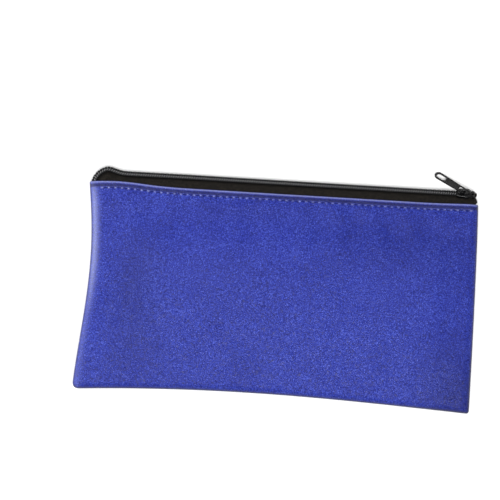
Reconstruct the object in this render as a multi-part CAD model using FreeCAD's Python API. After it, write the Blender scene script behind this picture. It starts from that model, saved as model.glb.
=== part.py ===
import FreeCAD, Part
import math
import os
from FreeCAD import Vector

# A zippered cash deposit bag of coated leatherette, lying on its back.
# X runs along the zip, +Y points to the zip, +Z is up, through the front panel.
# The origin is the middle of the back face, on the surface that the bag lies on.
# All sizes are in millimetres.

# Bag body
BOTTOM_WIDTH = 279.0      # across the bottom seam, corner to corner
MOUTH_WIDTH = 274.0       # across the hem
BOTTOM_Y = -78.0          # bottom seam at the corners
HEM_Y = 68.0              # folded edge of the hem
SHEET = 0.8               # leatherette with its woven backing
LOFT = 16.0               # thickness of the slightly filled bag
SEAM_Z = 6.0              # height of the side and bottom seams
SEAM_PLAY = 0.3           # space between the two turned edges, which part at the mouth
LEFT_BOW = 4.0            # how far each filled edge is pulled in between its corners
RIGHT_BOW = 0.5
BOTTOM_BOW = 4.5
CORNER_RADIUS = 6.0
FRONT_ROLL = 5.0          # radius over which the front panel turns down to the seam
BACK_ROLL = 4.0
ALLOWANCE = 8.0           # seam allowance turned to the inside
ALLOWANCE_TOP_Y = 56.0
HEM_DEPTH = 9.0           # depth of the turned hem
HEM_HALF_LENGTH = 128.0
FRONT_HEM_DROP = 4.2      # how far the front panel falls from the belly to the hem
FRONT_FALL_Y = 8.0        # where that fall starts
BACK_HEM_RISE = 0.8
BACK_RISE_Y = 50.0
FAR = 400.0               # longer than anything, for cutting blocks

# Thread
STITCH_PITCH = 4.7
STITCH_LENGTH = 3.5
THREAD_WIDTH = 0.5
THREAD_HEIGHT = 0.3
THREAD_CLEAR = 0.02       # thread lies on the cloth with this clearance
HEM_STITCH_INSET = 4.0    # topstitching below the hem's edge
HEM_STITCH_HALF = 126.0
SEAM_STITCH_INSET = 3.2   # seam stitching inside the turned edge
SEAM_STITCH_TOP_Y = 54.0

# Zip, in its own frame: X along it, U across it from front to back, N out of its face
ZIP_TILT = 34.0           # the face of the zip leans this much from +Z towards +Y
ZIP_Y = 75.4
ZIP_Z = 5.2
TAPE = 0.5                # thickness of the woven tape
TAPE_CLEAR = 0.05
TAPE_GAP = 0.3            # from the middle of the chain to each tape's edge
PARTED_GAP = 1.0          # the same where the slider's post keeps the tapes apart
TAPE_INNER_Y = 60.0       # edge of the tapes inside the bag
TAPE_LEFT_X = -136.4
TAPE_RIGHT_X = 137.2
BACK_BEND_U = 4.6         # where the back tape folds over behind the chain
BACK_FOLD_N = -1.9        # how deep that fold is
COIL_HALF_WIDTH = 2.3
COIL_ROOT = 0.9           # width of the coil's closed side
COIL_REACH = 0.7          # how far the teeth reach past the middle of the chain
COIL_HEIGHT = 1.7
COIL_CLEAR = 0.03         # between the coil and the tape under it
COIL_PITCH = 1.64
COIL_TOOTH = 0.72
COIL_LEFT_X = -134.0
COIL_RIGHT_X = 133.9
CHAIN_END_X = 130.2       # the teeth are in mesh up to here, inside the slider
CORD_RADIUS = 0.3
CORD_CLEAR = 0.05
COIL_THREAD = 0.1
COIL_THREAD_INSET = 0.2   # from each edge of the coil's root

# Slider, pull and stops
SLIDER_X = 128.4
SLIDER_REAR = 3.3         # half widths of the plates
SLIDER_SHOULDER = 4.1
SLIDER_NOSE = 2.4
SLIDER_REAR_X = -5.25     # from the middle of the slider
SLIDER_SHOULDER_X = 1.6
SLIDER_NOSE_X = 5.25
SLIDER_TAPER_X = 4.05     # from here the plates narrow to the nose
SLIDER_TAPER = 0.3        # narrower there than at the shoulder
SLIDER_MOUTH_X = 3.95     # the nose is open from here
SLIDER_WALL = 0.45
SLIDER_PLATE = 0.8
SLIDER_TOP_N = 1.95       # inner face of the top plate
SLIDER_FLANGE_N = 0.35    # lower edge of its side flanges
SLIDER_BOTTOM_N = -0.65   # inner face of the bottom plate
POST_HALF_WIDTH = 0.8     # of the post between the plates, in the nose
POST_X = (2.3, 4.6)
CROWN_HALF_WIDTH = 0.55
CROWN_X = (-2.75, 4.7)    # ends of the crown, from the middle of the slider
CROWN_BAR = 0.9
CROWN_BEVEL = 1.1
CROWN_INNER_N = 5.15      # underside of the crown's arch
PIVOT_X = -0.4            # the pull hangs at the rear of the crown
PIVOT_N = 4.3
PULL_LENGTH = 24.5        # from the pivot to the far end
PULL_WIDE = 6.2
PULL_NARROW = 5.0
PULL_THICK = 1.1
PULL_SLOT = (0.55, 4.2)   # the slot that the crown stands in, from the pivot
PULL_SLOT_WIDTH = 3.8
PULL_EYE = (15.6, 22.8)   # the long eye at the far end
PULL_EYE_WIDTH = 3.7
PULL_SWIVEL = 35.6        # the pull lies over to the back by this much
PULL_RAISE = 1.6          # and is raised by this much, its end just over the table
TOP_STOP_X = (134.3, 136.3)
STOP_CHAMFER = 0.3
BOTTOM_STOP_X = (-136.0, -134.3)


def export(name, shape):
    os.makedirs("parts", exist_ok=True)
    if not shape.isValid():
        raise ValueError(name + " is not a valid shape")
    shape.exportStep("parts/" + name + ".step")
    box = shape.optimalBoundingBox(False)
    corners = [round(v, 2) for v in (box.XMin, box.XMax, box.YMin, box.YMax, box.ZMin, box.ZMax)]
    print(name, "solids", len(shape.Solids), "volume", round(shape.Volume, 1), "box", corners)


# Helpers

def plate(points, low, high):
    """A prism over a closed outline in the XY plane."""
    wire = Part.makePolygon([Vector(x, y, low) for x, y in points + points[:1]])
    return Part.Face(wire).extrude(Vector(0, 0, high - low))


def beam(points, x0, x1):
    """A prism along X over a closed outline in the YZ plane."""
    wire = Part.makePolygon([Vector(x0, y, z) for y, z in points + points[:1]])
    return Part.Face(wire).extrude(Vector(x1 - x0, 0, 0))


def block(x, y, z):
    """A box between pairs of limits."""
    return Part.makeBox(x[1] - x[0], y[1] - y[0], z[1] - z[0], Vector(x[0], y[0], z[0]))


def thick_line(points, thickness):
    """The closed outline of an open line of points, with mitred corners."""
    normals = []
    for (a, b), (c, d) in zip(points, points[1:]):
        normals.append(Vector(b - d, c - a, 0).normalize())
    sides = ([], [])
    for i, (a, b) in enumerate(points):
        before, after = normals[max(i - 1, 0)], normals[min(i, len(normals) - 1)]
        middle = (before + after).normalize()
        reach = middle * (thickness / 2 / middle.dot(before))
        sides[0].append((a + reach.x, b + reach.y))
        sides[1].append((a - reach.x, b - reach.y))
    return sides[0] + sides[1][::-1]


def in_zip_frame(shape):
    """Moves a shape from the zip's own frame, where Y is U and Z is N, to its place."""
    placed = shape.copy()
    placed.rotate(Vector(0, 0, 0), Vector(1, 0, 0), -ZIP_TILT)
    placed.translate(Vector(0, ZIP_Y, ZIP_Z))
    return placed


def zip_point(u, n):
    """(y, z) of a point given in the zip's own frame."""
    tilt = math.radians(ZIP_TILT)
    y = ZIP_Y + u * math.cos(tilt) + n * math.sin(tilt)
    return y, ZIP_Z - u * math.sin(tilt) + n * math.cos(tilt)


# Leatherette panels

def side_x(y, side, inset):
    """The seam line at the left (-1) or right (1) side of the bag."""
    share = (y - BOTTOM_Y) / (HEM_Y - BOTTOM_Y)
    half = (BOTTOM_WIDTH + (MOUTH_WIDTH - BOTTOM_WIDTH) * share) / 2
    bow = (LEFT_BOW if side < 0 else RIGHT_BOW) * (1 - (2 * share - 1) ** 2)
    return side * (half - bow - inset)


def bottom_y(x, inset):
    """The seam line at the bottom of the bag."""
    return BOTTOM_Y + inset + BOTTOM_BOW * (1 - (2 * x / BOTTOM_WIDTH) ** 2)


def outline(inset, top_y):
    """The bag's outline in plan, moved inwards by inset and cut at top_y."""
    low = BOTTOM_Y + inset
    middle = (low + top_y) / 2
    corner = {side: Vector(side_x(low, side, inset), low, 0) for side in (-1, 1)}
    top = {side: Vector(side_x(top_y, side, inset), top_y, 0) for side in (-1, 1)}
    waist = {side: Vector(side_x(middle, side, inset), middle, 0) for side in (-1, 1)}
    edges = [
        Part.Arc(top[-1], waist[-1], corner[-1]).toShape(),
        Part.Arc(corner[-1], Vector(0, low + BOTTOM_BOW, 0), corner[1]).toShape(),
        Part.Arc(corner[1], waist[1], top[1]).toShape(),
        Part.makeLine(top[1], top[-1]),
    ]
    return Part.Face(Part.Wire(edges))


def face_height(y, shape):
    """Height of a panel's outer face at y, and its slope in degrees.

    The face is flat up to start_y, and then one arc to the hem."""
    start_y, level, end_level = shape
    run, change = HEM_Y - start_y, end_level - level
    radius = (run * run + change * change) / (2 * abs(change))
    along = max(0.0, y - start_y)
    depth = radius - math.sqrt(radius * radius - along * along)
    sign = math.copysign(1, change)
    return level + sign * depth, sign * math.degrees(math.asin(along / radius))


def profile(shape, offset, base):
    """A YZ face between a panel's face, moved up by offset, and the height base."""
    start_y, level, end_level = shape
    middle_y = (start_y + HEM_Y) / 2
    start = Vector(0, start_y, level + offset)
    middle = Vector(0, middle_y, face_height(middle_y, shape)[0] + offset)
    end = Vector(0, HEM_Y, end_level + offset)
    corners = [end, Vector(0, HEM_Y, base), Vector(0, -FAR, base), Vector(0, -FAR, level + offset), start]
    edges = [Part.Arc(start, middle, end).toShape()]
    edges += [Part.makeLine(a, b) for a, b in zip(corners, corners[1:])]
    return Part.Face(Part.Wire(edges))


def along_x(face, half_length):
    solid = face.extrude(Vector(2 * half_length, 0, 0))
    solid.translate(Vector(-half_length, 0, 0))
    return solid


def is_upright(edge):
    low, high = edge.Vertexes[0].Point, edge.Vertexes[-1].Point
    return abs(low.x - high.x) < 0.01 and abs(low.y - high.y) < 0.01


def is_rim(edge, seam):
    """True for the edges where a pan's flat meets its sides, but not those at the mouth."""
    ends = [v.Point for v in edge.Vertexes]
    if is_upright(edge) or any(abs(p.z - seam) < 0.01 for p in ends):
        return False
    across = abs(ends[0].y - ends[-1].y) < 0.01 and ends[0].x * ends[-1].x < 0
    return not (across and ends[0].y > BOTTOM_Y / 2)


def round_corners(solid, radius):
    corners = [e for e in solid.Edges if is_upright(e) and e.CenterOfMass.y < BOTTOM_Y / 2]
    return solid.makeFillet(radius, corners)


def pan(shape, inset, offset, roll, seam):
    """A closed block over the bag's outline, from seam to the panel's face, with a rolled rim."""
    height = math.copysign(2 * LOFT, shape[1] - seam)
    solid = outline(inset, HEM_Y).extrude(Vector(0, 0, height))
    solid.translate(Vector(0, 0, seam))
    solid = solid.common(along_x(profile(shape, offset, seam), FAR))
    solid = round_corners(solid, CORNER_RADIUS - inset)
    return solid.makeFillet(roll - inset, [e for e in solid.Edges if is_rim(e, seam)])


def allowance_ring(low, high):
    """The turned seam allowances: a flat U along both sides and the bottom."""
    up = Vector(0, 0, high - low)
    outer = round_corners(outline(SHEET / 2, ALLOWANCE_TOP_Y).extrude(up), CORNER_RADIUS - SHEET / 2)
    ring = outer.cut(outline(ALLOWANCE, ALLOWANCE_TOP_Y + 1).extrude(up))
    ring.translate(Vector(0, 0, low))
    return ring


def panel(shape, roll, seam, inward):
    """One panel with its turned hem and allowances. inward is 1 where up is into the bag."""
    sheet = inward * SHEET
    skin = pan(shape, 0, 0, roll, seam).cut(pan(shape, SHEET, sheet, roll, seam))
    ring = allowance_ring(*sorted((seam, seam - sheet)))
    hem = along_x(profile(shape, sheet, seam).cut(profile(shape, 2 * sheet, seam)), HEM_HALF_LENGTH)
    hem = hem.common(block((-FAR, FAR), (HEM_Y - HEM_DEPTH, HEM_Y), (-LOFT, 2 * LOFT)))
    return skin.fuse([ring, hem]).removeSplitter()


# Tapes and chain

def tape(shape, inward, bends):
    """A woven tape from the inside of a hem to the chain, narrower where it is in the bag."""
    lift = inward * (2 * SHEET + TAPE / 2 + TAPE_CLEAR)
    y0, y1 = TAPE_INNER_Y, HEM_Y + inward * TAPE
    line = [(y, face_height(y, shape)[0] + lift) for y in (y0, y1)]
    strip = beam(thick_line(line + bends, TAPE), TAPE_LEFT_X, TAPE_RIGHT_X)
    inside = (y0 - 1, HEM_Y + TAPE)
    for ends in ((-FAR, -HEM_HALF_LENGTH), (HEM_HALF_LENGTH, FAR)):
        strip = strip.cut(block(ends, inside, (-LOFT, 2 * LOFT)))
    parting = block((CHAIN_END_X, FAR), (-PARTED_GAP, PARTED_GAP), (-2 * TAPE, TAPE))
    return strip.cut(in_zip_frame(parting))


def coil(side, first_x):
    """One half of the chain: a closed root with a filler cord's tunnel, and its teeth."""
    inner = COIL_HALF_WIDTH - COIL_ROOT
    points = [(COIL_RIGHT_X, COIL_HALF_WIDTH), (COIL_LEFT_X, COIL_HALF_WIDTH), (COIL_LEFT_X, inner)]
    x = first_x
    while x + COIL_TOOTH < CHAIN_END_X:
        points += [(x, inner), (x, -COIL_REACH), (x + COIL_TOOTH, -COIL_REACH), (x + COIL_TOOTH, inner)]
        x += COIL_PITCH
    points.append((COIL_RIGHT_X, inner))
    comb = plate([(x, side * u) for x, u in points], COIL_CLEAR, COIL_HEIGHT)
    return in_zip_frame(comb.cut(filler_cord(side, CORD_RADIUS + CORD_CLEAR)))


def filler_cord(side, radius):
    centre = Vector(COIL_LEFT_X, side * (COIL_HALF_WIDTH - COIL_ROOT / 2), COIL_HEIGHT / 2)
    return Part.makeCylinder(radius, COIL_RIGHT_X - COIL_LEFT_X, centre, Vector(1, 0, 0))


def coil_thread(side):
    """The thread that holds the coil on its tape, flat on the coil's root."""
    u = sorted((side * (COIL_HALF_WIDTH - COIL_THREAD_INSET),
                side * (COIL_HALF_WIDTH - COIL_ROOT + COIL_THREAD_INSET)))
    low = COIL_HEIGHT + THREAD_CLEAR
    return in_zip_frame(block((COIL_LEFT_X, COIL_RIGHT_X), u, (low, low + COIL_THREAD)))


def stop(x, u):
    """A metal stop clamped on the tape's edge, with its top edges broken."""
    solid = block(x, u, (THREAD_CLEAR, COIL_HEIGHT))
    top = [e for e in solid.Edges if all(v.Z > COIL_HEIGHT / 2 for v in e.Vertexes)]
    return in_zip_frame(solid.makeChamfer(STOP_CHAMFER, top))


# Stitches

def stitch():
    """One stitch along X on the plane z = 0, centred on the origin."""
    half, start = THREAD_WIDTH / 2, -STITCH_LENGTH / 2
    a, b, c = Vector(start, -half, 0), Vector(start, 0, THREAD_HEIGHT), Vector(start, half, 0)
    section = Part.Face(Part.Wire([Part.Arc(a, b, c).toShape(), Part.makeLine(c, a)]))
    return section.extrude(Vector(STITCH_LENGTH, 0, 0))


def stitch_row(places):
    """Stitches, each at a point, tilted about X and then turned about Z, in degrees."""
    row = []
    for point, tilt, turn in places:
        one = stitch()
        one.rotate(Vector(0, 0, 0), Vector(1, 0, 0), tilt)
        one.rotate(Vector(0, 0, 0), Vector(0, 0, 1), turn)
        one.translate(point)
        row.append(one)
    return Part.makeCompound(row)


def steps(low, high):
    """Evenly spaced places, one stitch pitch apart, centred between low and high."""
    count = int((high - low) / STITCH_PITCH)
    start = (low + high - (count - 1) * STITCH_PITCH) / 2
    return [start + i * STITCH_PITCH for i in range(count)]


def hem_stitches(shape, depth, up):
    """A row along the hem, depth inside the outer face, standing up (1) or down (-1)."""
    y = HEM_Y - HEM_STITCH_INSET
    height, slope = face_height(y, shape)
    point = Vector(0, y, height + depth + up * THREAD_CLEAR)
    tilt = slope if up > 0 else slope + 180
    places = [(point + Vector(x, 0, 0), tilt, 0) for x in steps(-HEM_STITCH_HALF, HEM_STITCH_HALF)]
    return stitch_row(places)


def side_stitches(side, z, up):
    places = []
    for y in steps(BOTTOM_Y + ALLOWANCE, SEAM_STITCH_TOP_Y):
        x = side_x(y, side, SEAM_STITCH_INSET)
        run = side_x(y + 1, side, SEAM_STITCH_INSET) - x
        turn = 90 - math.degrees(math.atan(run))
        places.append((Vector(x, y, z + up * THREAD_CLEAR), 0 if up > 0 else 180, turn))
    return stitch_row(places)


def bottom_stitches(z, up):
    reach = BOTTOM_WIDTH / 2 - ALLOWANCE
    places = []
    for x in steps(-reach, reach):
        y = bottom_y(x, SEAM_STITCH_INSET)
        turn = math.degrees(math.atan(bottom_y(x + 1, SEAM_STITCH_INSET) - y))
        places.append((Vector(x, y, z + up * THREAD_CLEAR), 0 if up > 0 else 180, turn))
    return stitch_row(places)


# Slider and pull

def slider_outline(wall):
    """Half widths of the slider's plates from rear to nose, moved inwards by wall."""
    half = [(SLIDER_REAR_X, SLIDER_REAR), (SLIDER_SHOULDER_X, SLIDER_SHOULDER),
            (SLIDER_TAPER_X, SLIDER_SHOULDER - SLIDER_TAPER), (SLIDER_NOSE_X, SLIDER_NOSE)]
    low = [(x, -(u - wall)) for x, u in half]
    return low + [(x, -u) for x, u in reversed(low)]


def slider_body():
    top = plate(slider_outline(0), SLIDER_FLANGE_N, SLIDER_TOP_N + SLIDER_PLATE)
    channel = plate(slider_outline(SLIDER_WALL), SLIDER_FLANGE_N - 1, SLIDER_TOP_N)
    through = block((SLIDER_REAR_X - 1, SLIDER_REAR_X + 1),
                    (SLIDER_WALL - SLIDER_REAR, SLIDER_REAR - SLIDER_WALL),
                    (SLIDER_FLANGE_N - 1, SLIDER_TOP_N))
    nose = block((SLIDER_MOUTH_X, SLIDER_NOSE_X + 1),
                 (SLIDER_WALL - SLIDER_SHOULDER, SLIDER_SHOULDER - SLIDER_WALL),
                 (SLIDER_FLANGE_N - 1, SLIDER_TOP_N))
    top = top.cut(channel).cut(through).cut(nose)
    bottom = plate(slider_outline(0), SLIDER_BOTTOM_N - SLIDER_PLATE, SLIDER_BOTTOM_N)
    post = block(POST_X, (-POST_HALF_WIDTH, POST_HALF_WIDTH), (SLIDER_BOTTOM_N, SLIDER_TOP_N))
    body = top.fuse([bottom, post, crown()]).removeSplitter()
    body.translate(Vector(SLIDER_X, 0, 0))
    return in_zip_frame(body)


def crown():
    """The arch that holds the pull, standing on the top plate along X."""
    base = SLIDER_TOP_N + SLIDER_PLATE / 2
    rear, nose = CROWN_X
    low, high = CROWN_INNER_N - CROWN_BEVEL, CROWN_INNER_N
    arch = [(rear, base), (rear, low + CROWN_BAR), (rear + CROWN_BEVEL, high + CROWN_BAR),
            (nose - 2 * CROWN_BEVEL, high + CROWN_BAR), (nose, low), (nose, base),
            (nose - CROWN_BAR, base), (nose - CROWN_BAR, low), (nose - 2 * CROWN_BEVEL, high),
            (rear + CROWN_BAR, high), (rear + CROWN_BAR, base)]
    wire = Part.makePolygon([Vector(x, -CROWN_HALF_WIDTH, n) for x, n in arch + arch[:1]])
    return Part.Face(wire).extrude(Vector(0, 2 * CROWN_HALF_WIDTH, 0))


def slot(x, width):
    """A long hole with round ends, along X."""
    low, high, half = x[0] + width / 2, x[1] - width / 2, width / 2
    deep = (-PULL_THICK, PULL_THICK)
    cutter = block((low, high), (-half, half), deep)
    for end in (low, high):
        cutter = cutter.fuse(Part.makeCylinder(half, 2 * PULL_THICK, Vector(end, 0, -PULL_THICK)))
    return cutter


def pull_tab():
    """The pull along +X from its pivot bar at the origin, turned to where it lies."""
    half, bar, wide = PULL_THICK / 2, PULL_NARROW / 2, PULL_WIDE / 2
    end = PULL_LENGTH - wide
    blade = plate([(0, -bar), (end, -wide), (end, wide), (0, bar)], -half, half)
    blade = blade.fuse(Part.makeCylinder(wide, PULL_THICK, Vector(end, 0, -half)))
    blade = blade.fuse(Part.makeCylinder(half, 2 * bar, Vector(0, -bar, 0), Vector(0, 1, 0)))
    window = block(PULL_SLOT, (-PULL_SLOT_WIDTH / 2, PULL_SLOT_WIDTH / 2), (-PULL_THICK, PULL_THICK))
    blade = blade.cut(window).cut(slot(PULL_EYE, PULL_EYE_WIDTH)).removeSplitter()
    blade.rotate(Vector(0, 0, 0), Vector(0, 1, 0), -PULL_RAISE)
    blade.rotate(Vector(0, 0, 0), Vector(0, 0, 1), 180 - PULL_SWIVEL)
    blade.translate(Vector(SLIDER_X + PIVOT_X, 0, PIVOT_N))
    return in_zip_frame(blade)


def print_pull_hinge():
    """The hinge of the pull on the crown: its place in metres, and its axis for raising the pull."""
    y, z = zip_point(0, PIVOT_N)
    turn, tilt = math.radians(180 - PULL_SWIVEL), math.radians(ZIP_TILT)
    across = Vector(math.sin(turn), -math.cos(turn), 0)
    axis = (across.x, across.y * math.cos(tilt), -across.y * math.sin(tilt))
    print("pull hinge at", [round(v / 1000, 6) for v in (SLIDER_X + PIVOT_X, y, z)], [round(v, 5) for v in axis])


front_shape = (FRONT_FALL_Y, LOFT, LOFT - FRONT_HEM_DROP)
back_shape = (BACK_RISE_Y, 0.0, BACK_HEM_RISE)
front_seam = SEAM_Z + SEAM_PLAY / 2
back_seam = SEAM_Z - SEAM_PLAY / 2
tape_stack = 2 * SHEET + TAPE + 2 * TAPE_CLEAR
chain_edge = zip_point(-TAPE_GAP, -TAPE / 2)
back_bends = [zip_point(BACK_BEND_U, BACK_FOLD_N), zip_point(BACK_BEND_U, -TAPE / 2),
              zip_point(TAPE_GAP, -TAPE / 2)]

export("front_panel", panel(front_shape, FRONT_ROLL, front_seam, -1))
export("back_panel", panel(back_shape, BACK_ROLL, back_seam, 1))

export("front_zip_tape", tape(front_shape, -1, [chain_edge]))
export("back_zip_tape", tape(back_shape, 1, back_bends))
tooth_x = COIL_LEFT_X + COIL_PITCH
for name, side, first in (("front", -1, tooth_x), ("back", 1, tooth_x + COIL_PITCH / 2)):
    export(name + "_zip_coil", coil(side, first))
    export(name + "_coil_cord", in_zip_frame(filler_cord(side, CORD_RADIUS)))
    export(name + "_coil_thread", coil_thread(side))
    limits = sorted((side * PARTED_GAP, side * COIL_HALF_WIDTH))
    export(name + "_top_stop", stop(TOP_STOP_X, limits))
export("bottom_stop", stop(BOTTOM_STOP_X, (-COIL_HALF_WIDTH, COIL_HALF_WIDTH)))

export("front_hem_needle_thread", hem_stitches(front_shape, 0, 1))
export("front_hem_bobbin_thread", hem_stitches(front_shape, -tape_stack, -1))
export("back_hem_needle_thread", hem_stitches(back_shape, 0, -1))
export("back_hem_bobbin_thread", hem_stitches(back_shape, tape_stack, 1))
for name, side in (("left", -1), ("right", 1)):
    export(name + "_seam_needle_thread", side_stitches(side, front_seam + SHEET, 1))
    export(name + "_seam_bobbin_thread", side_stitches(side, back_seam - SHEET, -1))
export("bottom_seam_needle_thread", bottom_stitches(front_seam + SHEET, 1))
export("bottom_seam_bobbin_thread", bottom_stitches(back_seam - SHEET, -1))

export("slider_body", slider_body())
export("pull_tab", pull_tab())
print_pull_hinge()
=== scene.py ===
import math
import bpy
import numpy as np
from mathutils import Matrix, Vector


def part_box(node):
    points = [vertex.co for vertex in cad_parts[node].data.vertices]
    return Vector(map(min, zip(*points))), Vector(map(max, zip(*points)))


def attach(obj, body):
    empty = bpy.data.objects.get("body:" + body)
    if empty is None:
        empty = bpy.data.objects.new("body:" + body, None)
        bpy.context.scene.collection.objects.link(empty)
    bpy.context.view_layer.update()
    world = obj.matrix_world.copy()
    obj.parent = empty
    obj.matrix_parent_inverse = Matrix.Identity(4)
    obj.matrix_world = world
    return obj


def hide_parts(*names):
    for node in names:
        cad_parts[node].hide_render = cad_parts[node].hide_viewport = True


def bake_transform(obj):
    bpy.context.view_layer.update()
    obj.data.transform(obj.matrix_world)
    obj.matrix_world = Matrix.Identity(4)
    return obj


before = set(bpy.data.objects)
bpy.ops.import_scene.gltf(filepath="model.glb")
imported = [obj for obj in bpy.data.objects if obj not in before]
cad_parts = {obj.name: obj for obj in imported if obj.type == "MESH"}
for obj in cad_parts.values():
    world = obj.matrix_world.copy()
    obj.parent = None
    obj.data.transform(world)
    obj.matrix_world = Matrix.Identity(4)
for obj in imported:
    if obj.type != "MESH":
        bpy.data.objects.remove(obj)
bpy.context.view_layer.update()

# A zippered cash bag of blue leatherette, lying on its back. Sizes are in millimetres until a mesh is made.
mm = 0.001
scene = bpy.context.scene


def nodeBox(node):
    return [np.array(corner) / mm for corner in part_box(node)]


# Places taken from the frame
frontLow, frontHigh = nodeBox("front_panel")
backHigh = nodeBox("back_panel")[1]
halfWidth, bottomY, hemY, topZ = frontHigh[0], frontLow[1], frontHigh[1], frontHigh[2]
seamZ = (frontLow[2] + backHigh[2]) / 2

bagShape = {
    "leftLean": 2.8,       # the left edge leans in by this much on its way up
    "leftBow": 5.2,        # how far the left edge is pulled in
    "leftBowPower": 1.35,  # above 1, the deepest place lies further up
    "bottomLean": 1.1,     # the bottom edge falls by this much on its way to the right
    "bottomBow": 5.0,
    "bottomBowPower": 0.85,
    "rightBulge": 0.4,
    "rightTaper": 0.4,     # the right edge turns in at the very top
    "leftCorner": 5.0,     # radius of the two bottom corners, in plan
    "rightCorner": 2.0,
    "hemLift": 2.2,        # the hem bulges up near the left end
    "hemLiftX": -116.0,
    "hemLiftWidth": 24.0,
    "hemRightLift": 0.7,
    "sheet": 0.75,
    "turn": 0.8,           # radius of a turned edge
    "allowance": 7.0,
    "hemDepth": 9.0,
    "rollRadius": 5.5,     # of the front panel's rim, in plan
    "rollHeight": 4.6,
    "bellySpread": 33.0,   # how soon the belly is reached behind the rim
    "hemDrop": 4.2,
    "hemDropStart": 8.0,
    "backRoll": 5.0,
    "backHemRise": 0.8,
}


def smooth(t):
    t = np.clip(t, 0.0, 1.0)
    return t * t * (3 - 2 * t)


def leftX(b):
    bow = np.sin(math.pi * np.clip(b, 0, 1) ** bagShape["leftBowPower"])
    return -halfWidth - 0.5 + bagShape["leftLean"] * b + bagShape["leftBow"] * bow


def rightX(b):
    taper = bagShape["rightTaper"] * np.clip(b, 0, 1) ** 12
    return halfWidth + bagShape["rightBulge"] * np.sin(math.pi * b) - taper


def seamY(a):
    bow = np.sin(math.pi * np.clip(a, 0, 1) ** bagShape["bottomBowPower"])
    return bottomY - 0.2 - bagShape["bottomLean"] * a + bagShape["bottomBow"] * bow


def hemLine(a):
    x = leftX(1.0) + (rightX(1.0) - leftX(1.0)) * a
    lift = np.exp(-((x - bagShape["hemLiftX"]) / bagShape["hemLiftWidth"]) ** 2)
    rightLift = bagShape["hemRightLift"] * smooth((x - 100) / 35)
    return hemY - 0.8 + bagShape["hemLift"] * lift + rightLift


def mix(p, q, t):
    return p + (q - p) * t


# The bag's plan: a patch between its four edges, with a across and b from the bottom seam to the hem.
def planPoint(a, b):
    corners = {(i, j): (leftX(j) if i == 0 else rightX(j), seamY(i) if j == 0 else hemLine(i))
               for i in (0.0, 1.0) for j in (0.0, 1.0)}
    result = []
    for k in (0, 1):
        c = {key: value[k] for key, value in corners.items()}
        if k == 0:
            bottom, hem = mix(c[0, 0], c[1, 0], a), mix(c[0, 1], c[1, 1], a)
            left, right = leftX(b), rightX(b)
        else:
            bottom, hem = seamY(a), hemLine(a)
            left, right = mix(c[0, 0], c[0, 1], b), mix(c[1, 0], c[1, 1], b)
        flat = mix(mix(c[0, 0], c[1, 0], a), mix(c[0, 1], c[1, 1], a), b)
        result.append(mix(bottom, hem, b) + mix(left, right, a) - flat)
    x, y = result
    for i in (0.0, 1.0):
        cx, cy = corners[i, 0.0]
        side = 1 if i == 0 else -1
        r = bagShape["leftCorner"] if i == 0 else bagShape["rightCorner"]
        vx, vy = r - side * (x - cx), r - (y - cy)
        inside = (vx > 0) & (vy > 0)
        longest, length = np.maximum(vx, vy), np.sqrt(vx * vx + vy * vy) + 1e-9
        k = np.where(inside, longest / length, 1.0)
        x = np.where(inside, cx + side * (r - vx * k), x)
        y = np.where(inside, cy + r - vy * k, y)
    return x, y


width, height = 2 * halfWidth, hemY - bottomY


def rollTerm(distance, radius):
    t = np.clip(distance / radius, 0, 1)
    return np.sqrt(np.clip(1 - (1 - t) ** 2, 0, 1))


def riseTerm(distance, spread):
    return 1 - np.exp(-np.maximum(distance, 0) / spread)


softFolds = [  # start, end, half width and height of the soft folds in the front panel
    {"start": (-128, -66), "end": (-88, -20), "half": 9, "height": 0.8},
    {"start": (-112, -70), "end": (-70, -36), "half": 10, "height": -0.5},
    {"start": (-118, 50), "end": (-92, 22), "half": 12, "height": 0.5},
    {"start": (-60, -58), "end": (90, -60), "half": 8, "height": 0.5},
    {"start": (60, -30), "end": (110, 20), "half": 14, "height": 0.45},
    {"start": (-40, 20), "end": (20, -20), "half": 22, "height": 0.5},
]


def foldHeights(x, y):
    total = np.zeros_like(x)
    for fold in softFolds:
        start, end = np.array(fold["start"], float), np.array(fold["end"], float)
        run = end - start
        length = np.linalg.norm(run)
        along = ((x - start[0]) * run[0] + (y - start[1]) * run[1]) / length ** 2
        t = np.clip(along, 0, 1)
        away = np.sqrt((x - start[0] - run[0] * t) ** 2 + (y - start[1] - run[1] * t) ** 2)
        total += fold["height"] * np.exp(-(away / fold["half"]) ** 2)
    return total


def hemDrop(y):
    start = bagShape["hemDropStart"]
    return bagShape["hemDrop"] * np.clip((y - start) / (hemY - start), 0, 1.1) ** 2


def frontHeight(a, b, x, y):
    dLeft, dRight, dBottom = a * width, (1 - a) * width, b * height
    r = bagShape["rollRadius"]
    roll = rollTerm(dLeft, r) * rollTerm(dRight, r * 1.25) * rollTerm(dBottom, r)
    spread = bagShape["bellySpread"]
    belly = riseTerm(dLeft, spread) * riseTerm(dRight, spread) * riseTerm(dBottom, spread * 0.7)
    total = topZ - seamZ - bagShape["turn"]
    rise = bagShape["rollHeight"] * roll + (total - bagShape["rollHeight"]) * belly
    z = seamZ + bagShape["turn"] + rise - hemDrop(y) * belly * 1.1
    inner = riseTerm(np.minimum(np.minimum(dLeft, dRight), dBottom), 14) ** 2 * smooth((1 - b) * height / 16)
    return z + foldHeights(x, y) * inner


def backHeight(a, b, x, y):
    dLeft, dRight, dBottom = a * width, (1 - a) * width, b * height
    r = bagShape["backRoll"]
    roll = rollTerm(dLeft, r) * rollTerm(dRight, r) * rollTerm(dBottom, r)
    rise = bagShape["backHemRise"] * smooth((y - 50) / (hemY - 50))
    return (seamZ - bagShape["turn"]) * (1 - roll) + rise * roll


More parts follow.
